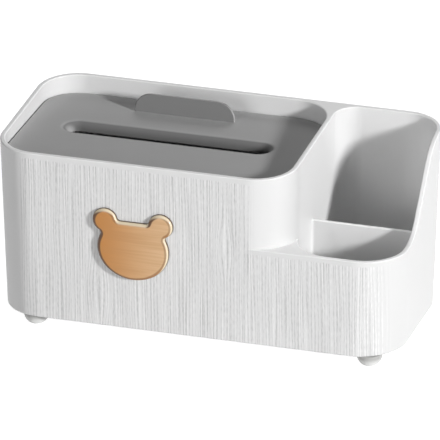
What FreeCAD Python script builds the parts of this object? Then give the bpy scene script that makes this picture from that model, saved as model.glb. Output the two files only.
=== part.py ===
import FreeCAD, Part
import math
import os
import Sketcher
from FreeCAD import Vector, Rotation

# A desktop tissue box with an open storage side. X runs along the width, the front faces -Y and
# Z is up. The origin is on the surface the box stands on, under the middle of all it covers in
# plan, badge included.

doc = FreeCAD.newDocument("TissueBox")

# Driving sizes in millimetres, angles in degrees. Heights are above the underside of the shell.
drivingSizes = [
    ("overall_width", 260.0, "across the rim"),
    ("overall_depth", 120.0, "front to back at the rim"),
    ("back_rim_height", 116.0, "all along the back"),
    ("rim_rise", 6.0, "climb of the tissue side's rim from front to back"),
    ("low_rim_height", 64.0, "front wall of the storage side"),
    ("draft_angle", 1.2, "outer walls lean out by this"),
    ("wall_thickness", 3.2, "outer walls and divider"),
    ("floor_thickness", 2.4, "both floors"),
    ("corner_radius", 26.0, "tissue side, outer corners in plan, at the back rim"),
    ("corner_spread", 1.0, "the same corners have this much more radius at the foot"),
    ("storage_corner_radius", 26.0, "storage side, outer corners in plan, at the back rim"),
    ("storage_corner_spread", 4.0, "the same corners have this much more radius at the foot"),
    ("storage_width", 70.0, "storage face of the divider to the right end"),
    ("tissue_back_corner", 24.0, "inner corner beside the divider at the back"),
    ("pocket_corner", 24.0, "front left inner corner of the pocket"),
    ("storage_back_corner", 14.0, "back left inner corner of the storage side"),
    ("partition_position", 55.0, "front of the box to the front of the partition"),
    ("partition_thickness", 2.4, "upright between pocket and rear compartment"),
    ("partition_fillet", 1.5, "where the partition meets the side walls"),
    ("climb_start", 31.0, "front of the box to the start of the climbing rim"),
    ("climb_angle", 53.0, "slope of the climbing rim"),
    ("lower_climb_radius", 26.0, "foot of the climb"),
    ("upper_climb_radius", 30.0, "top of the climb"),
    ("rim_round", 0.8, "rounding of the rims"),
    ("base_round", 1.0, "rounding under the outer walls"),
    ("lid_sink", 6.0, "front rim down to the top face of the seated lid"),
    ("lid_thickness", 2.0, "lid panel"),
    ("lid_clearance", 0.6, "lid edge to wall"),
    ("lid_shoulder", 1.6, "width of the step that carries the lid"),
    ("lid_round", 0.5, "upper edge of the lid"),
    ("slot_width", 11.8, "opening for the tissues"),
    ("slot_length", 128.0, "opening for the tissues, end to end"),
    ("slot_offset", 3.4, "slot sits behind the middle of the lid by this"),
    ("slot_round", 5.5, "lip that turns down into the slot"),
    ("slot_straight", 0.3, "upright part of the slot under its lip"),
    ("slot_wall", 1.6, "foot of the collar round the slot"),
    ("collar_flare", 2.6, "how far the collar widens up to the underside of the lid"),
    ("tab_width", 64.6, "lift tab"),
    ("tab_height", 12.4, "lift tab above the lid"),
    ("tab_thickness", 2.0, "lift tab"),
    ("tab_corner", 11.0, "upper corners of the lift tab"),
    ("tab_round", 0.5, "edges of the lift tab"),
    ("tab_position", 37.0, "middle of the box to the front face of the tab"),
    ("tongue_width", 40.0, "foot of the tab that passes through the lid"),
    ("tongue_clearance", 0.05, "all round the tongue"),
    ("badge_from_left", 92.5, "left end of the box to the middle of the badge"),
    ("badge_height", 54.5, "middle of the head"),
    ("head_half_width", 22.9, "head of the badge"),
    ("head_half_height", 20.4, "head of the badge"),
    ("ear_radius", 7.9, "ears of the badge"),
    ("ear_reach", 3.6, "outline of the head to the middle of an ear"),
    ("ear_angle", 47.8, "place of the ears round the head, from its sides"),
    ("badge_thickness", 2.8, "badge plate"),
    ("badge_round", 2.6, "edge of its front face"),
    ("badge_side", 0.1, "least flat side kept behind that edge"),
    ("ear_notch", 2.2, "where an ear meets the head"),
    ("crown_tuck", 0.2, "how far the level crown runs into an ear"),
    ("badge_pad_thickness", 0.3, "adhesive foam behind the badge"),
    ("badge_pad_margin", 3.0, "edge of the head to the edge of the foam"),
    ("foot_radius", 8.0, "domed feet"),
    ("foot_collar", 1.0, "straight part of a foot over its dome"),
    ("foot_flat", 2.0, "radius of the flat that each foot stands on"),
    ("foot_left_inset", 25.4, "left end of the rim to the left feet"),
    ("foot_right_inset", 20.6, "right end of the rim to the right feet"),
    ("foot_depth_inset", 13.0, "front or back of the rim to the feet"),
    ("disc_radius", 6.2, "adhesive disc over each foot"),
    ("disc_thickness", 0.5, "and the depth of its recess"),
    ("disc_clearance", 0.1, "round a disc in its recess"),
    ("cut_margin", 10.0, "how far cutting sketches run past the box"),
]

sheet = doc.addObject("Spreadsheet::Sheet", "Sizes")
for row, (alias, value, note) in enumerate(drivingSizes, start=1):
    sheet.set(f"A{row}", alias)
    sheet.set(f"B{row}", str(value))
    sheet.set(f"C{row}", note)
    sheet.setAlias(f"B{row}", alias)
doc.recompute()


def size(expression):
    """The present number of an expression of the sheet's sizes."""
    return float(sheet.evalExpression(expression))


def inset(height):
    """How far an outer wall stands in at this height, because it leans out towards the rim."""
    return f"((Sizes.back_rim_height - ({height})) * tan(Sizes.draft_angle * 1 deg))"


def originPlane(body, role):
    return next(item for item in body.Origin.OriginFeatures if item.Role == role)


def newBody(name):
    body = doc.addObject("PartDesign::Body", name)
    body.Label = name
    return body


def newSketch(body, name, role, offset="0"):
    sketch = body.newObject("Sketcher::SketchObject", name)
    sketch.AttachmentSupport = (originPlane(body, role), [""])
    sketch.MapMode = "FlatFace"
    sketch.setExpression("AttachmentOffset.Base.z", offset)
    return sketch


def drive(sketch, expression, *constraint):
    """Adds a sketch constraint whose value follows an expression."""
    index = sketch.addConstraint(Sketcher.Constraint(*constraint, size(expression)))
    sketch.setExpression(f"Constraints[{index}]", expression)


def line(sketch, start, end):
    return sketch.addGeometry(Part.LineSegment(Vector(*start, 0), Vector(*end, 0)))


def arc(sketch, middle, radius, startDegrees, endDegrees):
    circle = Part.Circle(Vector(*middle, 0), Vector(0, 0, 1), radius)
    start, end = math.radians(startDegrees), math.radians(endDegrees)
    return sketch.addGeometry(Part.ArcOfCircle(circle, start, end))


def placePoint(sketch, geometry, point, x, y):
    """Holds a point of a sketch at a place given by two expressions."""
    drive(sketch, x, "DistanceX", -1, 1, geometry, point)
    drive(sketch, y, "DistanceY", -1, 1, geometry, point)


def roundedOutline(sketch, left, right, front, back, radii):
    """A rectangle given by four expressions, with a radius (or None) for each corner, from the
    front left corner anticlockwise."""
    x0, x1, y0, y1 = (size(edge) for edge in (left, right, front, back))
    corners = [(x0, y0), (x1, y0), (x1, y1), (x0, y1)]
    inward = [(1, 1), (-1, 1), (-1, -1), (1, -1)]
    along = [(1, 0), (0, 1), (-1, 0), (0, -1)]
    rounds = [0.0 if radius is None else size(radius) for radius in radii]
    sides = []
    for i in range(4):
        j = (i + 1) % 4
        start = [corners[i][k] + rounds[i] * along[i][k] for k in (0, 1)]
        end = [corners[j][k] - rounds[j] * along[i][k] for k in (0, 1)]
        sides.append(line(sketch, start, end))
        sketch.addConstraint(Sketcher.Constraint("Vertical" if i % 2 else "Horizontal", sides[i]))
    for i in range(4):
        before = sides[i - 1]
        if radii[i] is None:
            sketch.addConstraint(Sketcher.Constraint("Coincident", before, 2, sides[i], 1))
            continue
        middle = [corners[i][k] + rounds[i] * inward[i][k] for k in (0, 1)]
        corner = arc(sketch, middle, rounds[i], 180 + 90 * i, 270 + 90 * i)
        sketch.addConstraint(Sketcher.Constraint("Tangent", before, 2, corner, 1))
        sketch.addConstraint(Sketcher.Constraint("Tangent", corner, 2, sides[i], 1))
        drive(sketch, radii[i], "Radius", corner)
    drive(sketch, front, "DistanceY", -1, 1, sides[0], 1)
    drive(sketch, right, "DistanceX", -1, 1, sides[1], 1)
    drive(sketch, back, "DistanceY", -1, 1, sides[2], 1)
    drive(sketch, left, "DistanceX", -1, 1, sides[3], 1)


def pillOutline(sketch, length, width, x, y):
    """An outline with straight sides along X and round ends, its middle at x, y."""
    half, middle = size(width) / 2, size(y)
    leftPlace, rightPlace = (f"{x} {sign} (({length}) - ({width})) / 2" for sign in "-+")
    leftX, rightX = size(leftPlace), size(rightPlace)
    lower = line(sketch, (leftX, middle - half), (rightX, middle - half))
    rightEnd = arc(sketch, (rightX, middle), half, 270, 450)
    upper = line(sketch, (rightX, middle + half), (leftX, middle + half))
    leftEnd = arc(sketch, (leftX, middle), half, 90, 270)
    chain = [lower, rightEnd, upper, leftEnd]
    for first, second in zip(chain, chain[1:] + chain[:1]):
        sketch.addConstraint(Sketcher.Constraint("Tangent", first, 2, second, 1))
    sketch.addConstraint(Sketcher.Constraint("Horizontal", lower))
    sketch.addConstraint(Sketcher.Constraint("Equal", leftEnd, rightEnd))
    drive(sketch, f"({width}) / 2", "Radius", rightEnd)
    placePoint(sketch, rightEnd, 3, rightPlace, y)
    drive(sketch, leftPlace, "DistanceX", -1, 1, leftEnd, 3)


def loft(body, kind, name, sections, outline):
    """A ruled loft through the same outline drawn at several heights: sections holds the
    heights, and outline(sketch, height) draws one of them."""
    sketches = []
    for i, height in enumerate(sections):
        sketch = newSketch(body, f"{name}Outline{i}", "XY_Plane", height)
        outline(sketch, height)
        sketches.append(sketch)
    feature = body.newObject(f"PartDesign::{kind}Loft", name)
    feature.Profile = sketches[0]
    feature.Sections = sketches[1:]
    feature.Ruled = True
    body.Tip = feature
    return feature


def extrude(body, kind, name, sketch, length, reverse=False, symmetric=False):
    feature = body.newObject(f"PartDesign::{kind}", name)
    feature.Profile = sketch
    feature.SideType = "Symmetric" if symmetric else "One side"
    feature.Reversed = reverse
    feature.setExpression("Length", length)
    body.Tip = feature
    return feature


def roundEdges(body, name, radius, chosen):
    """Rounds the edges of the body so far for which chosen(edge) is true."""
    doc.recompute()
    base = body.Tip
    names = [f"Edge{i}" for i, edge in enumerate(base.Shape.Edges, start=1) if chosen(edge)]
    feature = body.newObject("PartDesign::Fillet", name)
    feature.Base = (base, names)
    feature.setExpression("Radius", radius)
    body.Tip = feature
    doc.recompute()
    return feature


def pointsOf(edge):
    count = 5
    first, last = edge.ParameterRange
    return [edge.valueAt(first + (last - first) * i / (count - 1)) for i in range(count)]


def allNear(edge, distance):
    """True where every sampled point of the edge has a distance of nothing."""
    return all(abs(distance(point)) < 1e-4 for point in pointsOf(edge))


# Plan edges of the shell. The walls lean, so each place depends on the height.
halfWidth = "Sizes.overall_width / 2"
halfDepth = "Sizes.overall_depth / 2"
dividerFace = f"({halfWidth} - Sizes.storage_width)"
partitionFront = f"(Sizes.partition_position - {halfDepth})"
frontRim = "(Sizes.back_rim_height - Sizes.rim_rise)"
rimSlope = "(Sizes.rim_rise / Sizes.overall_depth)"
lidSeat = f"({frontRim} - Sizes.lid_sink - Sizes.lid_thickness)"
shellTop = "Sizes.back_rim_height"
badgeDepth = "(Sizes.badge_pad_thickness + Sizes.badge_thickness) * cos(Sizes.draft_angle * 1 deg)"
earX = "(Sizes.head_half_width + Sizes.ear_reach) * cos(Sizes.ear_angle * 1 deg)"
earRise = "(Sizes.head_half_height + Sizes.ear_reach) * sin(Sizes.ear_angle * 1 deg)"
badgeEdge = "min(Sizes.badge_round; Sizes.badge_thickness - Sizes.badge_side)"
earTop = f"({earRise} + Sizes.ear_radius - {badgeEdge})"
earLean = f"{earTop} * sin(Sizes.draft_angle * 1 deg)"
planShift = f"(max(0; {badgeDepth} + {earLean} - {inset('Sizes.badge_height')}) / 2)"
footHeight = "(Sizes.foot_collar + sqrt(Sizes.foot_radius ^ 2 - Sizes.foot_flat ^ 2))"


def stand(item, z, x="0", y="0"):
    """Places a piece at expressions for x and y from the middle of the rim and z from the ground."""
    item.setExpression("Placement.Base.x", x)
    item.setExpression("Placement.Base.y", f"{y} + {planShift}")
    item.setExpression("Placement.Base.z", z)


def wallPlaces(height, depthIn):
    """Left, right, front and back of the shell at a height, this far inside the outer face."""
    step = f"({inset(height)} + {depthIn})"
    left, right = f"-{halfWidth} + {step}", f"{halfWidth} - {step}"
    front, back = f"-{halfDepth} + {step}", f"{halfDepth} - {step}"
    return left, right, front, back


def cornerRadius(side, height, depthIn="0"):
    """Radius in plan of a side's outer corners at a height, this far inside the outer face."""
    share = f"(1 - ({height}) / {shellTop})"
    return f"Sizes.{side}corner_radius + Sizes.{side}corner_spread * {share} - ({depthIn})"


def storageSideOutline(sketch, height):
    """Outside of the storage side. Its square left end lies inside the tissue side."""
    _, right, front, back = wallPlaces(height, "0")
    left = f"{dividerFace} - Sizes.corner_radius - Sizes.cut_margin"
    radius = cornerRadius("storage_", height)
    roundedOutline(sketch, left, right, front, back, [None, radius, radius, None])


def tissueSideOutline(sketch, height):
    left, _, front, back = wallPlaces(height, "0")
    radius = cornerRadius("", height)
    roundedOutline(sketch, left, dividerFace, front, back, [radius, radius, None, radius])


def tissueCavityOutline(sketch, height, depthIn, clearance="0"):
    """Inside of the tissue side. The divider is as thick as the walls."""
    left, _, front, back = wallPlaces(height, f"{depthIn} + {clearance}")
    right = f"{dividerFace} - ({depthIn}) - ({clearance})"
    radius = cornerRadius("", height, f"{depthIn} + {clearance}")
    backRight = f"Sizes.tissue_back_corner - ({depthIn} - Sizes.wall_thickness) - ({clearance})"
    roundedOutline(sketch, left, right, front, back, [radius, radius, backRight, radius])


def storageCavityOutline(sketch, height):
    _, right, front, back = wallPlaces(height, "Sizes.wall_thickness")
    radius = cornerRadius("storage_", height, "Sizes.wall_thickness")
    radii = ["Sizes.pocket_corner", radius, radius, "Sizes.storage_back_corner"]
    roundedOutline(sketch, dividerFace, right, front, back, radii)


def storageRimProfile(sketch):
    """Side view of what is cut away over the storage side: the low rim, the climb and the back
    rim, closed over the top."""
    low, high = size("Sizes.low_rim_height"), size("Sizes.back_rim_height")
    margin, half = size("Sizes.cut_margin"), size(halfDepth)
    climb = math.radians(size("Sizes.climb_angle"))
    slope = math.atan(size(rimSlope))
    lower, upper = size("Sizes.lower_climb_radius"), size("Sizes.upper_climb_radius")
    startY = size(f"Sizes.climb_start - {halfDepth}")
    lowerEnd = (startY + lower * math.sin(climb), low + lower * (1 - math.cos(climb)))
    rimAtLowerEnd = high - (half - lowerEnd[0]) * math.tan(slope)
    run = (rimAtLowerEnd - lowerEnd[1]) / (math.tan(climb) - math.tan(slope))
    meeting = (lowerEnd[0] + run, lowerEnd[1] + run * math.tan(climb))
    reach = upper * math.tan((climb - slope) / 2)
    upperStart = (meeting[0] - reach * math.cos(climb), meeting[1] - reach * math.sin(climb))
    upperEnd = (meeting[0] + reach * math.cos(slope), meeting[1] + reach * math.sin(slope))
    upperMiddle = (upperStart[0] + upper * math.sin(climb), upperStart[1] - upper * math.cos(climb))
    frontY, backY = -half - margin, half + margin
    backRim = high + margin * math.tan(slope)
    top = high + margin
    lowLine = line(sketch, (frontY, low), (startY, low))
    lowerArc = arc(sketch, (startY, low + lower), lower, 270, 270 + math.degrees(climb))
    climbLine = line(sketch, lowerEnd, upperStart)
    upperArc = arc(sketch, upperMiddle, upper, 90 + math.degrees(slope), 90 + math.degrees(climb))
    rimLine = line(sketch, upperEnd, (backY, backRim))
    backLine = line(sketch, (backY, backRim), (backY, top))
    topLine = line(sketch, (backY, top), (frontY, top))
    frontLine = line(sketch, (frontY, top), (frontY, low))
    for kind, first, firstPoint, second, secondPoint in [
        ("Tangent", lowLine, 2, lowerArc, 1),
        ("Tangent", lowerArc, 2, climbLine, 1),
        ("Tangent", climbLine, 2, upperArc, 2),
        ("Tangent", upperArc, 1, rimLine, 1),
        ("Coincident", rimLine, 2, backLine, 1),
        ("Coincident", backLine, 2, topLine, 1),
        ("Coincident", topLine, 2, frontLine, 1),
        ("Coincident", frontLine, 2, lowLine, 1),
    ]:
        sketch.addConstraint(Sketcher.Constraint(kind, first, firstPoint, second, secondPoint))
    for level in (lowLine, topLine):
        sketch.addConstraint(Sketcher.Constraint("Horizontal", level))
    for upright in (backLine, frontLine):
        sketch.addConstraint(Sketcher.Constraint("Vertical", upright))
    placePoint(sketch, lowLine, 2, f"Sizes.climb_start - {halfDepth}", "Sizes.low_rim_height")
    beyondFront, beyondBack = f"-{halfDepth} - Sizes.cut_margin", f"{halfDepth} + Sizes.cut_margin"
    placePoint(sketch, topLine, 2, beyondFront, f"{shellTop} + Sizes.cut_margin")
    placePoint(sketch, rimLine, 2, beyondBack, f"{shellTop} + Sizes.cut_margin * {rimSlope}")
    drive(sketch, "Sizes.lower_climb_radius", "Radius", lowerArc)
    drive(sketch, "Sizes.upper_climb_radius", "Radius", upperArc)
    drive(sketch, "Sizes.climb_angle * 1 deg", "Angle", climbLine)
    drive(sketch, f"atan({rimSlope})", "Angle", rimLine)


def polygon(sketch, corners):
    """A closed outline through corners given as pairs of expressions."""
    places = [(size(x), size(y)) for x, y in corners]
    sides = [line(sketch, start, end) for start, end in zip(places, places[1:] + places[:1])]
    for i, (x, y) in enumerate(corners):
        sketch.addConstraint(Sketcher.Constraint("Coincident", sides[i - 1], 2, sides[i], 1))
        placePoint(sketch, sides[i], 1, x, y)


def rimDistance(point):
    """Height of a point over the tilted plane of the tissue side's rim."""
    return point.z - size(frontRim) - size(rimSlope) * (point.y + size(halfDepth))


def isStorageRim(edge):
    """The long edges round the top of the storage side, but none that only crosses its rim."""
    points = pointsOf(edge)
    lowest = min(point.z for point in points)
    leftmost = min(point.x for point in points)
    straightAcross = allNear(edge, lambda point: point.y - points[0].y)
    crossing = straightAcross and edge.Length < size("Sizes.wall_thickness") * 2
    high = lowest > size("Sizes.low_rim_height") - 0.01
    return high and leftmost > size(dividerFace) - 0.01 and not crossing


def isTissueMouth(edge):
    """The loop round the inside of the tissue side's rim."""
    inside = all(point.x < size(dividerFace) - size("Sizes.rim_round") * 1.1 for point in pointsOf(edge))
    step = size("Sizes.wall_thickness")
    left = -size(halfWidth) + step * 0.9
    reach = size(halfDepth) - step * 0.9
    inside = inside and all(point.x > left and abs(point.y) < reach for point in pointsOf(edge))
    return inside and allNear(edge, rimDistance)


def isPartitionCorner(edge):
    """The upright edges where the partition meets the divider and the right wall."""
    points = pointsOf(edge)
    front, back = size(partitionFront), size(f"{partitionFront} + Sizes.partition_thickness")
    onFace = allNear(edge, lambda point: point.y - front) or allNear(edge, lambda point: point.y - back)
    return onFace and points[-1].sub(points[0]).z ** 2 > 0.9 * edge.Length ** 2


def isPartitionTop(edge):
    """The two long upper edges of the partition."""
    points = pointsOf(edge)
    front, back = size(partitionFront), size(f"{partitionFront} + Sizes.partition_thickness")
    onFace = allNear(edge, lambda point: point.y - front) or allNear(edge, lambda point: point.y - back)
    atTop = allNear(edge, lambda point: point.z - size("Sizes.low_rim_height"))
    return onFace and atTop and edge.Length > size("Sizes.partition_thickness") * 2


def isSlotLip(edge):
    """The upper edge of the slot, which lies inside the lid's own upper edge."""
    reach = size("Sizes.slot_width") / 2 + 0.01
    offset = size("Sizes.slot_offset")
    atTop = allNear(edge, lambda point: point.z - size("Sizes.lid_thickness"))
    return atTop and all(abs(point.y - offset) < reach for point in pointsOf(edge))


def isTabEdge(edge):
    """The edges round the tab's two faces, above its foot."""
    points = pointsOf(edge)
    foot = size("Sizes.lid_thickness")
    front, back = size("Sizes.tab_position"), size("Sizes.tab_position + Sizes.tab_thickness")
    onFace = allNear(edge, lambda point: point.y - front) or allNear(edge, lambda point: point.y - back)
    return onFace and max(point.z for point in points) > foot + 0.01


# The tissue side: a tall leaning block that joins the shell.
tissueSide = newBody("tissue_side_block")
loft(tissueSide, "Additive", "TissueBlock", ["0", shellTop], tissueSideOutline)
tissueRimCut = newSketch(tissueSide, "TissueRimProfile", "YZ_Plane")
polygon(tissueRimCut, [
    (f"-{halfDepth} - Sizes.cut_margin", f"{frontRim} - Sizes.cut_margin * {rimSlope}"),
    (f"{halfDepth} + Sizes.cut_margin", f"{shellTop} + Sizes.cut_margin * {rimSlope}"),
    (f"{halfDepth} + Sizes.cut_margin", f"{shellTop} + Sizes.cut_margin * 2"),
    (f"-{halfDepth} - Sizes.cut_margin", f"{shellTop} + Sizes.cut_margin * 2"),
])
extrude(tissueSide, "Pocket", "TissueRimCut", tissueRimCut, "Sizes.overall_width * 2", symmetric=True)
roundEdges(tissueSide, "TissueRimRound", "Sizes.rim_round", lambda edge: allNear(edge, rimDistance))

# The shell: one moulding with the tissue side on the left, the low storage side on the right and
# the divider between them.
shell = newBody("outer_shell")
stand(shell, footHeight)
loft(shell, "Additive", "StorageBlock", ["0", shellTop], storageSideOutline)
storageCut = newSketch(shell, "StorageRimProfile", "YZ_Plane")
storageRimProfile(storageCut)
extrude(shell, "Pocket", "StorageRimCut", storageCut, "Sizes.overall_width * 2", symmetric=True)
loft(shell, "Subtractive", "StorageHollow", ["Sizes.floor_thickness", shellTop], storageCavityOutline)
roundEdges(shell, "StorageRimRound", "Sizes.rim_round", isStorageRim)
joined = shell.newObject("PartDesign::Boolean", "JoinTissueSide")
joined.Type = "Fuse"
joined.setObjects([tissueSide])
shell.Tip = joined
shoulderEdge = "(Sizes.wall_thickness + Sizes.lid_shoulder)"
loft(shell, "Subtractive", "TissueMouth", [lidSeat, shellTop],
     lambda sketch, height: tissueCavityOutline(sketch, height, "Sizes.wall_thickness"))
loft(shell, "Subtractive", "TissueCompartment", ["Sizes.floor_thickness", lidSeat],
     lambda sketch, height: tissueCavityOutline(sketch, height, shoulderEdge))
roundEdges(shell, "TissueMouthRound", "Sizes.rim_round", isTissueMouth)
roundEdges(shell, "BaseRound", "Sizes.base_round",
           lambda edge: allNear(edge, lambda point: point.z))
partition = newSketch(shell, "PartitionProfile", "XZ_Plane", f"-({partitionFront})")
halfWall = "Sizes.wall_thickness / 2"
partitionFoot = "Sizes.floor_thickness / 2"
polygon(partition, [
    (f"{dividerFace} - {halfWall}", partitionFoot),
    (f"{halfWidth} - {inset(partitionFoot)} - {halfWall}", partitionFoot),
    (f"{halfWidth} - {inset('Sizes.low_rim_height')} - {halfWall}", "Sizes.low_rim_height"),
    (f"{dividerFace} - {halfWall}", "Sizes.low_rim_height"),
])
extrude(shell, "Pad", "Partition", partition, "Sizes.partition_thickness", reverse=True)
roundEdges(shell, "PartitionCorners", "Sizes.partition_fillet", isPartitionCorner)
roundEdges(shell, "PartitionRound", "Sizes.rim_round", isPartitionTop)
footSides = {
    "left": f"Sizes.foot_left_inset - {halfWidth}",
    "right": f"{halfWidth} - Sizes.foot_right_inset",
}
endPlace = f"{halfDepth} - Sizes.foot_depth_inset"
footEnds = {"front": f"-({endPlace})", "back": endPlace}
footPlaces = [(side, end, x, y) for side, x in footSides.items() for end, y in footEnds.items()]
recess = newSketch(shell, "FootRecessOutline", "XY_Plane")
recessRadius = "Sizes.disc_radius + Sizes.disc_clearance"
for _, _, x, y in footPlaces:
    middle = Vector(size(x), size(y), 0)
    circle = recess.addGeometry(Part.Circle(middle, Vector(0, 0, 1), size(recessRadius)))
    placePoint(recess, circle, 3, x, y)
    drive(recess, recessRadius, "Radius", circle)
extrude(shell, "Pocket", "FootRecesses", recess, "Sizes.disc_thickness", reverse=True)

# The lid: a flat panel that drops into the tissue side and stands on its shoulder, with a slot
# that the tissues come up through between rounded lips, and a small slit for the foot of the tab.
lidMiddle = "(-Sizes.storage_width / 2)"
lid = newBody("tissue_lid")
stand(lid, f"{footHeight} + {lidSeat}")
panel = newSketch(lid, "LidOutline", "XY_Plane")
tissueCavityOutline(panel, lidSeat, "Sizes.wall_thickness", "Sizes.lid_clearance")
extrude(lid, "Pad", "LidPanel", panel, "Sizes.lid_thickness")
roundEdges(lid, "LidRound", "Sizes.lid_round",
           lambda edge: allNear(edge, lambda point: point.z - size("Sizes.lid_thickness")))


def collarOutline(sketch, height):
    """The slot with its wall round it, which widens up to the underside of the lid."""
    rest = f"(({height}) - ({collarFoot})) / -({collarFoot})"
    margin = f"2 * (Sizes.slot_wall + Sizes.collar_flare * {rest})"
    length, width = f"Sizes.slot_length + {margin}", f"Sizes.slot_width + {margin}"
    pillOutline(sketch, length, width, lidMiddle, "Sizes.slot_offset")


collarFoot = "(Sizes.lid_thickness - Sizes.slot_round - Sizes.slot_straight)"
loft(lid, "Additive", "SlotCollar", ["0", collarFoot], collarOutline)
slot = newSketch(lid, "SlotOutline", "XY_Plane")
pillOutline(slot, "Sizes.slot_length", "Sizes.slot_width", lidMiddle, "Sizes.slot_offset")
extrude(lid, "Pocket", "TissueSlot", slot, "Sizes.cut_margin * 2", symmetric=True)
roundEdges(lid, "SlotLip", "Sizes.slot_round", isSlotLip)
slit = newSketch(lid, "TongueSlit", "XY_Plane")
slitLeft, slitRight = (
    f"{lidMiddle} {sign} (Sizes.tongue_width / 2 + Sizes.tongue_clearance)" for sign in "-+")
slitFront = "Sizes.tab_position - Sizes.tongue_clearance"
slitBack = "Sizes.tab_position + Sizes.tab_thickness + Sizes.tongue_clearance"
roundedOutline(slit, slitLeft, slitRight, slitFront, slitBack, [None] * 4)
extrude(lid, "Pocket", "TongueHole", slit, "Sizes.cut_margin * 2", symmetric=True)

# The lift tab: an upright plate with round shoulders, on a tongue pressed into the lid.
tab = newBody("lift_tab")
stand(tab, f"{footHeight} + {lidSeat}")
tabFace = newSketch(tab, "TabOutline", "XZ_Plane", "-Sizes.tab_position")
tabLeft, tabRight = (f"{lidMiddle} {sign} Sizes.tab_width / 2" for sign in "-+")
tabTop = "Sizes.lid_thickness + Sizes.tab_height"
tabRadii = [None, None, "Sizes.tab_corner", "Sizes.tab_corner"]
roundedOutline(tabFace, tabLeft, tabRight, "Sizes.lid_thickness", tabTop, tabRadii)
extrude(tab, "Pad", "TabPlate", tabFace, "Sizes.tab_thickness", reverse=True)
roundEdges(tab, "TabRound", "Sizes.tab_round", isTabEdge)
tongue = newSketch(tab, "TongueOutline", "XZ_Plane", "-Sizes.tab_position")
tongueLeft, tongueRight = (f"{lidMiddle} {sign} Sizes.tongue_width / 2" for sign in "-+")
roundedOutline(tongue, tongueLeft, tongueRight, "0", "Sizes.lid_thickness", [None] * 4)
extrude(tab, "Pad", "Tongue", tongue, "Sizes.tab_thickness", reverse=True)

# The badge: a wooden plate in the shape of a plain bear's head, stuck to the leaning front by a
# smaller piece of foam.
def onFront(item):
    """Stands a piece on the front wall at the badge's middle, leaning as the wall does."""
    x = f"Sizes.badge_from_left - {halfWidth}"
    y = f"{inset('Sizes.badge_height')} - {halfDepth}"
    stand(item, f"{footHeight} + Sizes.badge_height", x, y)
    item.Placement.Rotation = Rotation(Vector(1, 0, 0), size("Sizes.draft_angle"))
    item.setExpression("Placement.Rotation.Angle", "Sizes.draft_angle * 1 deg")


def discPlate(name, width, height, x, z, start, thickness, turn=0):
    """An upright elliptical plate facing -Y, its middle at x, z and its back face at -start. The
    turn says where on its outline the seam falls."""
    outline = doc.addObject("Part::Ellipse", f"{name}Outline")
    outline.setExpression("MajorRadius", width)
    outline.setExpression("MinorRadius", height)
    upright, turned = Rotation(Vector(1, 0, 0), 90), Rotation(Vector(0, 0, 1), turn)
    outline.Placement.Rotation = upright.multiply(turned)
    outline.setExpression("Placement.Base.x", x)
    outline.setExpression("Placement.Base.y", f"-({start})")
    outline.setExpression("Placement.Base.z", z)
    plate = doc.addObject("Part::Extrusion", name)
    plate.Base = outline
    plate.DirMode = "Custom"
    plate.Dir = Vector(0, -1, 0)
    plate.Solid = True
    plate.setExpression("LengthFwd", thickness)
    return plate


padDepth, plateDepth = "Sizes.badge_pad_thickness", "Sizes.badge_thickness"
headWidth, headHeight, earRadius = "Sizes.head_half_width", "Sizes.head_half_height", "Sizes.ear_radius"
crownEnd = f"({earX} - {earRadius} + Sizes.crown_tuck)"
crownTop = f"{headHeight} * sqrt(1 - ({crownEnd} / {headWidth}) ^ 2)"
headPlate = discPlate("HeadPlate", headWidth, headHeight, "0", "0", padDepth, plateDepth)
crownBlock = doc.addObject("Part::Box", "CrownBlock")
for role, reach in [
    ("Length", f"{headWidth} * 2 + Sizes.cut_margin"),
    ("Width", f"{plateDepth} + Sizes.cut_margin"),
    ("Height", f"{crownTop} + {headHeight} + Sizes.cut_margin"),
    ("Placement.Base.x", f"-({headWidth} + Sizes.cut_margin / 2)"),
    ("Placement.Base.y", f"-({padDepth} + {plateDepth} + Sizes.cut_margin / 2)"),
    ("Placement.Base.z", f"-({headHeight} + Sizes.cut_margin)"),
]:
    crownBlock.setExpression(role, reach)
head = doc.addObject("Part::MultiCommon", "BadgeHead")
head.Shapes = [headPlate, crownBlock]
faceParts = [head]
for name, x in [("LeftEar", f"-{earX}"), ("RightEar", earX)]:
    towardsHead = math.degrees(math.atan2(-size(earRise), -size(x)))
    ear = discPlate(name, earRadius, earRadius, x, earRise, padDepth, plateDepth, towardsHead)
    faceParts.append(ear)
badgeBlank = doc.addObject("Part::MultiFuse", "BadgeBlank")
badgeBlank.Shapes = faceParts
badgeBlank.Refine = True
doc.recompute()


def roundPlate(name, base, radius, chosen):
    """Rounds chosen edges of a Part object with a radius from the sheet."""
    feature = doc.addObject("Part::Fillet", name)
    feature.Base = base
    numbers = [i for i, edge in enumerate(base.Shape.Edges, start=1) if chosen(edge)]
    feature.Edges = [(i, size(radius), size(radius)) for i in numbers]
    doc.recompute()
    return feature


def isEarNotch(edge):
    """The four upright edges through the plate where an ear meets the head."""
    points = pointsOf(edge)
    return abs(points[-1].y - points[0].y) > size(plateDepth) * 0.9 and points[0].z > 0.01


badgeFront = f"-({padDepth} + {plateDepth})"
notched = roundPlate("BadgeNotches", badgeBlank, "Sizes.ear_notch", isEarNotch)
badge = roundPlate("BearBadge", notched, badgeEdge,
                   lambda edge: allNear(edge, lambda point: point.y - size(badgeFront)))
badge.Label = "bear_badge"
onFront(badge)
padWidth, padHeight = (f"{half} - Sizes.badge_pad_margin" for half in (headWidth, headHeight))
badgePad = discPlate("BadgePad", padWidth, padHeight, "0", "0", "0", padDepth)
badgePad.Label = "badge_adhesive_pad"
onFront(badgePad)

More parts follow.
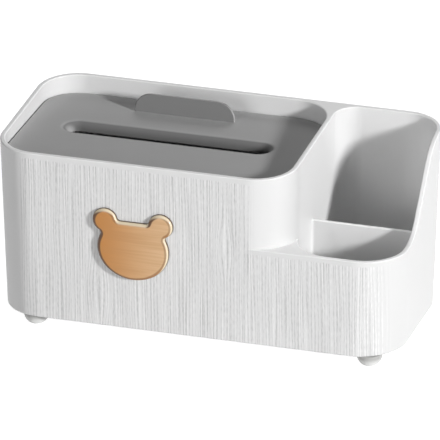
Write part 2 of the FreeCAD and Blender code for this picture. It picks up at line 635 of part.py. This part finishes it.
# The feet: four domes with a small flat to stand on, each on an adhesive disc in its recess.
def footProfile(sketch):
    """Half of a foot, from its top face down the collar and round the dome to the flat."""
    radius, flat, collar, tall = (size(value) for value in (
        "Sizes.foot_radius", "Sizes.foot_flat", "Sizes.foot_collar", footHeight))
    domeStart = 360 - math.degrees(math.acos(flat / radius))
    axisLine = line(sketch, (0, -tall), (0, 0))
    topLine = line(sketch, (0, 0), (radius, 0))
    collarLine = line(sketch, (radius, 0), (radius, -collar))
    dome = arc(sketch, (0, -collar), radius, domeStart, 360)
    flatLine = line(sketch, (flat, -tall), (0, -tall))
    for first, firstPoint, second, secondPoint in [
        (axisLine, 2, topLine, 1),
        (topLine, 2, collarLine, 1),
        (collarLine, 2, dome, 2),
        (dome, 1, flatLine, 1),
        (flatLine, 2, axisLine, 1),
        (-1, 1, topLine, 1),
    ]:
        sketch.addConstraint(Sketcher.Constraint("Coincident", first, firstPoint, second, secondPoint))
    for upright in (axisLine, collarLine):
        sketch.addConstraint(Sketcher.Constraint("Vertical", upright))
    for level in (topLine, flatLine):
        sketch.addConstraint(Sketcher.Constraint("Horizontal", level))
    placePoint(sketch, dome, 3, "0", "-Sizes.foot_collar")
    drive(sketch, "Sizes.foot_radius", "Radius", dome)
    drive(sketch, "Sizes.foot_flat", "DistanceX", -1, 1, dome, 1)


feet = []
for side, end, x, y in footPlaces:
    foot = newBody(f"foot_{end}_{side}")
    stand(foot, footHeight, x, y)
    profile = newSketch(foot, f"DomeProfile_{end}_{side}", "XZ_Plane")
    footProfile(profile)
    turned = foot.newObject("PartDesign::Revolution", f"Dome_{end}_{side}")
    turned.Profile = profile
    turned.ReferenceAxis = (originPlane(foot, "Z_Axis"), [""])
    turned.Angle = 360
    foot.Tip = turned
    feet.append(foot)
discs = []
for side, end, x, y in footPlaces:
    disc = doc.addObject("Part::Cylinder", f"Disc_{end}_{side}")
    disc.setExpression("Radius", "Sizes.disc_radius")
    disc.setExpression("Height", "Sizes.disc_thickness")
    stand(disc, footHeight, x, y)
    discs.append(disc)
discGroup = doc.addObject("Part::Compound", "FootDiscs")
discGroup.Links = discs
discGroup.Label = "foot_adhesive_discs"
doc.recompute()

# Every feature must have built before anything is written.
for item in doc.Objects:
    if "Invalid" in item.State or "Error" in item.State:
        raise RuntimeError(f"{item.Name} failed: {item.State}")
os.makedirs("parts", exist_ok=True)
for item in [shell, lid, tab, badge, badgePad, *feet, discGroup]:
    if item.Shape.isNull() or not item.Shape.isValid():
        raise RuntimeError(f"{item.Label} has no valid shape")
    item.Shape.exportStep(f"parts/{item.Label}.step")
    print(item.Label, round(item.Shape.Volume, 1), item.Shape.BoundBox)
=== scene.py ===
import math

import bpy
from mathutils import Matrix, Vector


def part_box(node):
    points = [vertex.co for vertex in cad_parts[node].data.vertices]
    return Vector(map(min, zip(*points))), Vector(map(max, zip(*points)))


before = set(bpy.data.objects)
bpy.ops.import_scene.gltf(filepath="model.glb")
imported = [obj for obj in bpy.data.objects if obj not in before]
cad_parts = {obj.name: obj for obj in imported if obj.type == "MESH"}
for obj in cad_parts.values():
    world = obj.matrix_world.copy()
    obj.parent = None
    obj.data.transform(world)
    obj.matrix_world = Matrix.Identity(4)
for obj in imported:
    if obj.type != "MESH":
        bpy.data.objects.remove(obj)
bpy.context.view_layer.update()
print("frame:", len(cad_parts), "nodes")


class Wire:  # a socket of a node tree: sums written on it become Math nodes
    def __init__(self, tree, socket=None):
        self.tree = tree
        self.socket = socket

    def node(self, kind, settings, values, out=0):  # settings go first, then values or links
        made = self.tree.nodes.new("ShaderNode" + kind)
        for name, value in settings.items():
            setattr(made, name, value)
        for name, value in values.items():
            if isinstance(value, Wire):
                self.tree.links.new(value.socket, made.inputs[name])
            else:
                made.inputs[name].default_value = value
        return Wire(self.tree, made.outputs[out] if made.outputs else None)

    def maths(self, operation, *values):
        return self.node("Math", {"operation": operation}, dict(enumerate(values)))

    def __add__(self, other):
        return self.maths("ADD", self, other)

    def __radd__(self, other):
        return self.maths("ADD", other, self)

    def __sub__(self, other):
        return self.maths("SUBTRACT", self, other)

    def __mul__(self, other):
        return self.maths("MULTIPLY", self, other)

    def rise(self, low, high):  # 0 at low and 1 at high, smooth between; low may be the larger
        ends = {"From Min": min(low, high), "From Max": max(low, high)}
        sides = {"To Min": float(low > high), "To Max": float(low < high)}
        return self.node("MapRange", {"interpolation_type": "SMOOTHSTEP"}, {"Value": self, **ends, **sides})

    def mix(self, first, second):  # this value as the factor between two colours
        return self.node("Mix", {"data_type": "RGBA"}, {0: self, 6: first, 7: second}, 2)


def newMaterial(name):  # the material, a wire to start nodes from, and x, y and z on the piece
    material = bpy.data.materials.new(name)
    material.use_nodes = True
    material.node_tree.nodes.clear()
    start = Wire(material.node_tree)
    return material, start, split(start, "Object")


def split(start, kind):  # x, y and z of the place ("Object") or of the way the surface faces ("Normal")
    spot = start.node("TexCoord", {}, {}, kind)
    return [start.node("SeparateXYZ", {}, {0: spot}, axis) for axis in "XYZ"]


def addShader(start, values, height, depth):  # height runs from 0 to 1 over this depth in metres
    values["Normal"] = start.node("Bump", {}, {"Height": height, "Distance": depth, "Strength": 1.0})
    shader = start.node("BsdfPrincipled", {}, values)
    start.node("OutputMaterial", {}, {"Surface": shader})


def noise(start, x, y, z, detail=2.0):  # a constant in place of one axis tells two noises apart
    spot = start.node("CombineXYZ", {}, {0: x, 1: y, 2: z})
    return start.node("TexNoise", {}, {"Vector": spot, "Scale": 1.0, "Detail": detail})


def dress(node, material):
    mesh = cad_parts[node].data
    mesh.materials.clear()
    mesh.materials.append(material)


# Faces that look up carry painted light.
# Outer faces that look to the right carry painted shade.
# The white shell: satin plastic, with a relief of upright wood grain on its front, whose grooves carry
# painted shade and whose ridges carry painted light.
# Lengths are in metres and rates are per metre. A pair says where a change
# starts and ends, if it has no other note.
shell = {
    "white": (0.77, 0.77, 0.77, 1.0),
    # painted shade in the grain's grooves and painted light on its ridges
    "paintedGrooveShade": (0.57, 0.57, 0.57, 1.0),
    "paintedRidgeLight": (0.90, 0.90, 0.90, 1.0),
    "paintedLightUp": (0.96, 0.96, 0.96, 1.0),  # painted light on faces that look up
    "paintedShadeRight": (0.69, 0.69, 0.69, 1.0),  # painted shade on outer faces that look to the right
    "upTurn": (0.2, 0.8),
    "rightTurn": (0.1, 0.6),
    "outerRight": (0.030, 0.015),  # how far from the right end a face still counts as outer
    "outerFront": (0.034, 0.022),  # the same from the front
    "roughness": 0.42,
    "grainRoughness": 0.1,  # added on the grain
    "linePitch": 0.0020,
    "lineWander": 12.0,
    "lineLength": 0.090,
    "twigLength": 0.050,
    "poreWidth": 0.0006,
    "poreLength": 0.0035,
    "lean": 0.003,  # how far the streaks wander to the side
    "leanRate": (28.0, 9.0),  # across and up
    "crowdRate": 260.0,
    "broadRate": 180.0,
    "shares": (0.16, 0.44, 0.30, 0.10),  # lines, twigs, pores and broad bands
    "grooveHeight": (0.50, 0.34),
    "ridgeHeight": (0.52, 0.68),
    "grainDepth": 0.00006,
    "speckleRate": 2600.0,
    "speckleShare": 0.03,
    "knots": [(-0.060, 0.032, 0.010, 0.030), (0.021, 0.070, 0.007, 0.022)],  # x, z, half width, half height
    "knotPull": 0.55,
    "leftEdge": (0.0167, 0.0227),  # left end to the grain
    "tallEdge": (0.0195, 0.0285),  # face of the divider to the grain
    "rightEdge": (0.0055, 0.0185),  # right end to the grain
    "frontEdge": (0.020, 0.018),  # how far back the grain goes
    "frontTurn": (-0.3, -0.5),
    "lip": 0.0029,  # smooth band under each rim
    "lipWander": 0.0040,
    "lipRate": 700.0,
    "lipFade": 0.0010,
    "storageWidth": 0.070,
    "rimDrop": 0.006,  # back rim to front rim
    "lowDrop": 0.052,  # back rim to low rim
}


def grainHeight(start, x, z):  # upright streaks with finer pores, spread round a few knots
    spread = x
    for knotX, knotZ, halfWidth, halfHeight in shell["knots"]:
        offX, offZ = (x - knotX) * (1 / halfWidth), (z - knotZ) * (1 / halfHeight)
        near = (offX * offX + offZ * offZ).rise(1.0, 0.0)
        spread = spread - near * (x - knotX) * shell["knotPull"]
    leanAcross, leanUp = shell["leanRate"]
    drift = noise(start, x * leanAcross, 3.0, z * leanUp, 1.0) - 0.5
    across = spread + drift * shell["lean"]
    length = 1 / shell["lineLength"]
    crowd = noise(start, across * shell["crowdRate"], 0.0, z * length, 1.0) - 0.5
    phase = across * (2.0 * math.pi / shell["linePitch"]) + crowd * shell["lineWander"]
    lines = phase.maths("SINE", phase) * 0.5 + 0.5
    fine = across * (1 / shell["poreWidth"])
    twigs = noise(start, fine, 7.0, z * (1 / shell["twigLength"]), 1.0)
    pores = noise(start, fine, 21.0, z * (1 / shell["poreLength"]), 2.0)
    broad = noise(start, across * shell["broadRate"], 13.0, z * length, 1.0)
    lineShare, twigShare, poreShare, broadShare = shell["shares"]
    return lines * lineShare + twigs * twigShare + pores * poreShare + broad * broadShare


def fromEnd(value, end, edge):  # 0 at the first distance above this end and 1 at the second
    return value.rise(end + edge[0], end + edge[1])


def beforeEnd(value, end, edge):  # the same below this end
    return value.rise(end - edge[0], end - edge[1])


def grainZone(start, x, y, z):  # 1 on the front, short of its corners and of the rims
    low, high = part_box("outer_shell")
    rim, lowRim = high[2] - shell["rimDrop"], high[2] - shell["lowDrop"]
    divider = high[0] - shell["storageWidth"]
    wander = noise(start, x * shell["lipRate"], 5.0, 0.0, 1.0) - 0.5
    raised = z + (shell["lip"] + wander * shell["lipWander"])
    underLow = raised.rise(lowRim, lowRim - shell["lipFade"])
    tall = beforeEnd(x, divider, shell["tallEdge"]) * raised.rise(rim, rim - shell["lipFade"])
    left = fromEnd(x, low[0], shell["leftEdge"])
    right = beforeEnd(x, high[0], shell["rightEdge"])
    outside = fromEnd(y, low[1], shell["frontEdge"])
    front = split(start, "Normal")[1].rise(*shell["frontTurn"])
    return tall.maths("MAXIMUM", tall, underLow) * left * right * outside * front


def makeShellPlastic():
    material, start, (x, y, z) = newMaterial("shellPlastic")
    height, zone = grainHeight(start, x, z), grainZone(start, x, y, z)
    rate = shell["speckleRate"]
    speckle = noise(start, x * rate, y * rate, z * rate, 1.0)
    faceX, _, faceZ = split(start, "Normal")
    low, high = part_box("outer_shell")
    nearRight = beforeEnd(x, high[0], shell["outerRight"])
    outer = start.maths("MAXIMUM", nearRight, fromEnd(y, low[1], shell["outerFront"]))
    # painted shade on outer faces that look to the right
    smooth = (faceX.rise(*shell["rightTurn"]) * outer).mix(shell["white"], shell["paintedShadeRight"])
    # painted light on faces that look up
    smooth = faceZ.rise(*shell["upTurn"]).mix(smooth, shell["paintedLightUp"])
    # painted shade in the grain's grooves and painted light on its ridges
    colour = (zone * height.rise(*shell["grooveHeight"])).mix(smooth, shell["paintedGrooveShade"])
    colour = (zone * height.rise(*shell["ridgeHeight"])).mix(colour, shell["paintedRidgeLight"])
    relief = zone * (height - 0.5) * 2.0 + speckle * shell["speckleShare"]
    rough = shell["roughness"] + zone * shell["grainRoughness"]
    addShader(start, {"Base Color": colour, "Roughness": rough}, relief, shell["grainDepth"])
    return material


dress("outer_shell", makeShellPlastic())
print("shell dressed")

# The grey lid and its tab: one matte plastic with a fine spark-eroded texture, with painted shade on faces
# that do not look up, darkest down in the slot, and painted light on faces that look to the right.
lid = {
    "grey": (0.51, 0.51, 0.51, 1.0),
    "greyDark": (0.48, 0.48, 0.48, 1.0),
    "paintedSideShade": (0.235, 0.235, 0.235, 1.0),  # painted shade on faces that do not look up
    "paintedEndLight": (0.42, 0.42, 0.42, 1.0),  # painted light on faces that look to the right
    "paintedSlotShade": (0.17, 0.17, 0.17, 1.0),  # painted shade down inside the slot
    "slotDepth": 0.0035,
    "sideTurn": (0.995, 0.88),
    "endTurn": (0.4, 1.0),
    "roughness": 0.62,
    "roughnessWander": 0.08,
    "specular": 0.10,
    "speckleSize": 0.0006,
    "speckleDepth": 0.00003,
    "speckleShare": 0.6,
    "cloudRate": 30.0,
    "cloudShare": 0.4,
    "darkPatches": (0.65, 0.35),
}


def makeLidPlastic():
    material, start, (x, y, z) = newMaterial("lidPlastic")
    fine, coarse = 1 / lid["speckleSize"], lid["cloudRate"]
    speckle = noise(start, x * fine, y * fine, z * fine, 2.0)
    cloud = noise(start, x * coarse, y * coarse, z * coarse, 2.0)
    patches = (speckle * lid["speckleShare"] + cloud * lid["cloudShare"]).rise(*lid["darkPatches"])
    top = patches.mix(lid["grey"], lid["greyDark"])
    faceX, _, faceZ = split(start, "Normal")
    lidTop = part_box("tissue_lid")[1][2]
    # painted shade on the sides, darkest down inside the slot
    side = z.rise(lidTop, lidTop - lid["slotDepth"]).mix(lid["paintedSideShade"], lid["paintedSlotShade"])
    # painted light on faces that look to the right
    side = faceX.rise(*lid["endTurn"]).mix(side, lid["paintedEndLight"])
    colour = faceZ.rise(*lid["sideTurn"]).mix(top, side)
    rough = lid["roughness"] + (cloud - 0.5) * lid["roughnessWander"]
    values = {"Base Color": colour, "Roughness": rough, "Specular IOR Level": lid["specular"]}
    addShader(start, values, speckle, lid["speckleDepth"])
    return material


lidPlastic = makeLidPlastic()
dress("tissue_lid", lidPlastic)
dress("lift_tab", lidPlastic)
print("lid dressed")

# The badge: pale wood with level grain, a clear coat and browned edges; its rounded edge carries painted
# highlight and painted shade, and its face a painted sheen that grows to the right.
badge = {
    "amber": (0.538, 0.223, 0.046, 1.0),  # left end of the wood colour, which gets paler to the right as a painted sheen
    "pale": (0.746, 0.493, 0.276, 1.0),  # right end, where the painted sheen is strongest
    "grain": (0.50, 0.24, 0.08, 1.0),
    # painted shade on the rounding that looks left
    "paintedShadeLeft": (0.13, 0.052, 0.014, 1.0),
    # painted highlight on the rounding that looks up or to the right
    "paintedHighlightEdge": (0.76, 0.65, 0.47, 1.0),
    # painted shade on the rounding that looks down
    "paintedShadeLow": (0.34, 0.155, 0.045, 1.0),
    "edge": (0.085, 0.045, 0.020, 1.0),
    "shoulderShade": 0.25,  # how much of the edge's brown the rounding starts with
    "rightShade": 0.40,  # the same on the right, inside the painted highlight, as painted shade
    "shadeTurn": (-1.0, -0.95),
    "rightShadeTurn": (0.0, 0.30),
    "lowTurn": (-0.05, -0.45),
    "leftTurn": (-0.01, -0.22),
    "topTurn": (0.25, 0.60),
    "rightTurn": (0.45, 0.70),
    "edgeTurn": (-0.50, -0.25),
    "grainHeight": 0.0011,
    "grainLength": 0.030,
    "grainWave": 0.002,
    "waveRate": (25.0, 40.0),  # across and up
    "broadRate": (18.0, 220.0),
    "grainShare": 0.55,
    "broadShare": 0.45,
    "grainTone": (0.62, 0.34),
    "grainStrength": 0.35,
    "grainDepth": 0.00003,
    "roughness": 0.45,
    "grainRoughness": 0.1,
    "coatRoughness": 0.33,
}


def makeBadgeWood():
    material, start, (x, y, z) = newMaterial("badgeWood")
    faceX, faceY, faceZ = split(start, "Normal")
    low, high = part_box("bear_badge")
    waveAcross, waveUp = badge["waveRate"]
    wave = noise(start, x * waveAcross, 0.0, z * waveUp, 1.0) - 0.5
    level = z + wave * badge["grainWave"]
    grain = noise(start, x * (1 / badge["grainLength"]), 3.0, level * (1 / badge["grainHeight"]), 3.0)
    broadAcross, broadUp = badge["broadRate"]
    broad = noise(start, x * broadAcross, 9.0, level * broadUp, 1.0)
    # wood colour, paler towards the right as a painted sheen
    woodAndPaintedSheen = x.rise(low[0], high[0]).mix(badge["amber"], badge["pale"])
    streaks = (grain * badge["grainShare"] + broad * badge["broadShare"]).rise(*badge["grainTone"])
    wood = (streaks * badge["grainStrength"]).mix(woodAndPaintedSheen, badge["grain"])
    rounded = (faceY.rise(*badge["shadeTurn"]) * badge["shoulderShade"]).mix(wood, badge["edge"])
    # painted shade on the right of the rounding, inside the painted highlight
    rounded = (faceX.rise(*badge["rightShadeTurn"]) * badge["rightShade"]).mix(rounded, badge["edge"])
    # painted shade where the rounding looks down
    rounded = faceZ.rise(*badge["lowTurn"]).mix(rounded, badge["paintedShadeLow"])
    # painted shade where the rounding looks left
    rounded = faceX.rise(*badge["leftTurn"]).mix(rounded, badge["paintedShadeLeft"])
    # painted highlight where the rounding looks up or to the right
    paintedHighlightUp, paintedHighlightRight = faceZ.rise(*badge["topTurn"]), faceX.rise(*badge["rightTurn"])
    rounded = start.maths("MAXIMUM", paintedHighlightUp, paintedHighlightRight).mix(rounded, badge["paintedHighlightEdge"])
    colour = faceY.rise(*badge["edgeTurn"]).mix(rounded, badge["edge"])
    rough = badge["roughness"] + grain * badge["grainRoughness"]
    values = {"Base Color": colour, "Roughness": rough, "Specular IOR Level": 0.0}
    values["Coat Weight"] = 1.0
    values["Coat Roughness"] = badge["coatRoughness"]
    addShader(start, values, grain, badge["grainDepth"])
    return material


dress("bear_badge", makeBadgeWood())
print("badge dressed")

# The feet: glossy plastic, with painted shade on top, under the shell, and on the left.
feet = {
    "white": (0.80, 0.80, 0.79, 1.0),
    # painted shade under the shell and on faces that look left
    "shade": (0.42, 0.42, 0.41, 1.0),
    "shadeHeight": (0.0030, 0.0075),
    "shadeTurn": (0.1, -0.7),
    "leftShare": 0.8,
    "cloudRate": 400.0,
    "cloudDepth": 0.00002,
    "roughness": 0.22,
    "roughnessWander": 0.06,
}

# The pad behind the badge and the discs over the feet: fine foam.
foam = {
    "pale": (0.72, 0.72, 0.69, 1.0),
    "dark": (0.58, 0.58, 0.55, 1.0),
    "roughness": 0.9,
    "cellRate": 3000.0,
    "cellDepth": 0.00012,
}


def makeFootPlastic():
    material, start, (x, y, z) = newMaterial("footPlastic")
    rate = feet["cloudRate"]
    cloud = noise(start, x * rate, y * rate, z * rate, 2.0)
    # painted shade on top, under the shell, and on faces that look left
    upper = z.rise(*feet["shadeHeight"])
    left = split(start, "Normal")[0].rise(*feet["shadeTurn"]) * feet["leftShare"]
    colour = start.maths("MAXIMUM", upper, left).mix(feet["white"], feet["shade"])
    rough = feet["roughness"] + cloud * feet["roughnessWander"]
    addShader(start, {"Base Color": colour, "Roughness": rough}, cloud, feet["cloudDepth"])
    return material


def makeFoam():
    material, start, (x, y, z) = newMaterial("adhesiveFoam")
    rate = foam["cellRate"]
    cells = noise(start, x * rate, y * rate, z * rate, 1.0)
    colour = cells.mix(foam["dark"], foam["pale"])
    addShader(start, {"Base Color": colour, "Roughness": foam["roughness"]}, cells, foam["cellDepth"])
    return material


footPlastic, adhesiveFoam = makeFootPlastic(), makeFoam()
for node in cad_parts:
    if node.startswith("foot_") and node != "foot_adhesive_discs":
        dress(node, footPlastic)
dress("foot_adhesive_discs", adhesiveFoam)
dress("badge_adhesive_pad", adhesiveFoam)
print("feet dressed")

# Floor, light and camera. Angles are in degrees and lengths in metres.
studio = {
    "floorSize": 12.0,
    "floorGrey": 0.80,
    "backdropGlow": 0.90,  # what the camera sees of the floor besides its own light
    "fill": 0.02,  # world light on the object
    "lampAim": (0.0, 0.0, 0.06),
    "lamps": {  # azimuth right of the front, height, distance, size, watts
        "keyLamp": (63.0, 17.5, 2.6, 0.30, 64.0),
        "leftLamp": (-20.0, 8.0, 3.0, 1.6, 27.0),
        "backLamp": (180.0, 42.0, 3.0, 1.6, 17.0),
        "topLamp": (0.0, 85.0, 3.0, 1.6, 3.5),
    },
}


def aimAt(thing, spot, target, roll=0.0):
    thing.location = spot
    turned = (Vector(target) - Vector(spot)).to_track_quat("-Z", "Y").to_matrix().to_4x4()
    thing.rotation_euler = (turned @ Matrix.Rotation(roll, 4, "Z")).to_euler()


def around(target, azimuth, height, distance):  # a point this far from target, azimuth from -Y towards +X
    turn, climb = math.radians(azimuth), math.radians(height)
    level = math.cos(climb)
    step = Vector((math.sin(turn) * level, -math.cos(turn) * level, math.sin(climb)))
    return Vector(target) + step * distance


def cameraSees(start):  # 1 for what the camera, a mirror or glass looks at
    kinds = ("Camera", "Glossy", "Transmission")
    camera, mirror, glass = [start.node("LightPath", {}, {}, "Is " + kind + " Ray") for kind in kinds]
    return start.maths("MAXIMUM", camera, start.maths("MAXIMUM", mirror, glass))


def makeFloor():
    bpy.ops.object.select_all(action="DESELECT")
    bpy.ops.mesh.primitive_plane_add(size=studio["floorSize"])
    floor = bpy.context.object
    floor.name = "floor"
    material, start, _ = newMaterial("floorPaint")
    grey = studio["floorGrey"]
    paint = start.node("BsdfDiffuse", {}, {"Color": (grey, grey, grey, 1.0)})
    glow = start.node("Emission", {}, {"Color": (1.0, 1.0, 1.0, 1.0), "Strength": studio["backdropGlow"]})
    both = start.node("AddShader", {}, {0: paint, 1: glow})
    seen = start.node("MixShader", {}, {0: cameraSees(start), 1: paint, 2: both})
    start.node("OutputMaterial", {}, {"Surface": seen})
    floor.data.materials.append(material)


def makeWorld():
    world = bpy.data.worlds.new("studioWorld")
    bpy.context.scene.world = world
    world.use_nodes = True
    world.node_tree.nodes.clear()
    start = Wire(world.node_tree)
    strength = studio["fill"] + cameraSees(start) * (1.0 - studio["fill"])
    air = start.node("Background", {}, {"Color": (1.0, 1.0, 1.0, 1.0), "Strength": strength})
    start.node("OutputWorld", {}, {"Surface": air})


def addLamps():
    for name, (azimuth, height, distance, size, power) in studio["lamps"].items():
        data = bpy.data.lights.new(name, "AREA")
        data.shape = "DISK"
        data.size = size
        data.energy = power
        lamp = bpy.data.objects.new(name, data)
        bpy.context.collection.objects.link(lamp)
        aimAt(lamp, around(studio["lampAim"], azimuth, height, distance), studio["lampAim"])


view = {
    "aim": (0.0, -0.0004, 0.0635),
    "azimuth": 17.25,
    "height": 23.56,
    "distance": 4.187,
    "lens": 555.8,  # millimetres
    "roll": -0.09,
    "reach": 50.0,  # nothing past this is drawn
}


def addCamera():
    data = bpy.data.cameras.new("camera")
    data.lens = view["lens"]
    data.clip_end = view["reach"]
    camera = bpy.data.objects.new("camera", data)
    bpy.context.collection.objects.link(camera)
    spot = around(view["aim"], view["azimuth"], view["height"], view["distance"])
    aimAt(camera, spot, view["aim"], math.radians(view["roll"]))
    bpy.context.scene.camera = camera


makeFloor()
makeWorld()
addLamps()
addCamera()
bpy.context.scene.view_settings.view_transform = "Standard"
print("stage set")
